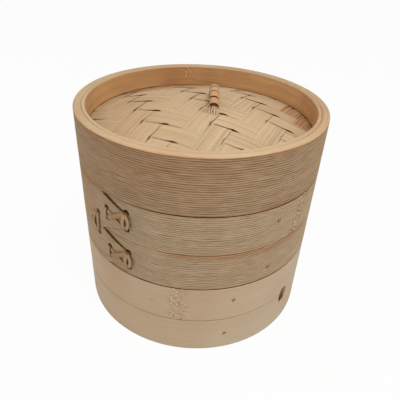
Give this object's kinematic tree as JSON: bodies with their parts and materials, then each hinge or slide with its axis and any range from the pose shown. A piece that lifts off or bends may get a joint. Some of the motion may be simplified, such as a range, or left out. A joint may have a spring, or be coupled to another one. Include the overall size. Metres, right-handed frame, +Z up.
{
  "type": "bamboo steamer",
  "caption": "Stacking bamboo steamer with laced hoop walls, slatted floors and a lift-off lid that has a woven dome and a cane-wound loop handle.",
  "frame": {"origin": "centre of the lower tier's foot, on the surface the steamer stands on", "axes": "+Z up out of the lid; -Y is the front of the picture, +X its right"},
  "size_m": [0.152, 0.152, 0.146],
  "materials": {
    "brown_bamboo": "satin, sawn and steamed brown, fine grain along the hoop",
    "pale_bamboo": "satin, planed smooth, pale",
    "inner_bamboo": "satin, planed smooth",
    "woven_bamboo": "satin, split strips with fibres along them",
    "slat_bamboo": "satin, split strips",
    "bar_bamboo": "matte, split culm",
    "peg": "matte end grain",
    "cane": "satin split cane"
  },
  "bodies": {
    "lower_tier": {"lower_tier_upper_hoop": "pale_bamboo", "lower_tier_lower_hoop": "pale_bamboo", "lower_tier_inner_band": "inner_bamboo", "lower_tier_base_ring": "inner_bamboo", "lower_tier_crossbar_1": "bar_bamboo", "lower_tier_crossbar_2": "bar_bamboo", "lower_tier_slat_1": "slat_bamboo", "lower_tier_slat_2": "slat_bamboo", "lower_tier_slat_3": "slat_bamboo", "lower_tier_slat_4": "slat_bamboo", "lower_tier_slat_5": "slat_bamboo", "lower_tier_slat_6": "slat_bamboo", "lower_tier_slat_7": "slat_bamboo", "lower_tier_peg_1": "peg", "lower_tier_peg_2": "peg", "lower_tier_peg_3": "peg", "lower_tier_lacing_upper": "cane", "lower_tier_lacing_seam": "cane", "lower_tier_lacing_lower": "cane"},
    "upper_tier": {"upper_tier_upper_hoop": "brown_bamboo", "upper_tier_lower_hoop": "brown_bamboo", "upper_tier_inner_band": "inner_bamboo", "upper_tier_base_ring": "inner_bamboo", "upper_tier_crossbar_1": "bar_bamboo", "upper_tier_crossbar_2": "bar_bamboo", "upper_tier_slat_1": "slat_bamboo", "upper_tier_slat_2": "slat_bamboo", "upper_tier_slat_3": "slat_bamboo", "upper_tier_slat_4": "slat_bamboo", "upper_tier_slat_5": "slat_bamboo", "upper_tier_slat_6": "slat_bamboo", "upper_tier_slat_7": "slat_bamboo", "upper_tier_peg_1": "peg", "upper_tier_peg_2": "peg", "upper_tier_lacing_upper": "cane", "upper_tier_lacing_seam": "cane", "upper_tier_lacing_lower": "cane"},
    "lid": {"lid_hoop": "brown_bamboo", "lid_inner_band": "inner_bamboo", "lid_lower_ring": "inner_bamboo", "lid_woven_panel": "woven_bamboo", "lid_rib_1": "slat_bamboo", "lid_rib_2": "slat_bamboo", "lid_peg_1": "peg", "lid_peg_2": "peg", "lid_lacing_tip": "cane", "lid_lacing_root": "cane", "handle_core": "cane", "handle_winding": "cane"}
  },
  "joints": [
    {"name": "upper_tier_lift", "type": "slide", "parent": "lower_tier", "child": "upper_tier", "axis": [0, 0, 1], "range_m": [0, 0.06]},
    {"name": "lid_lift", "type": "slide", "parent": "upper_tier", "child": "lid", "axis": [0, 0, 1], "range_m": [0, 0.08]}
  ]
}
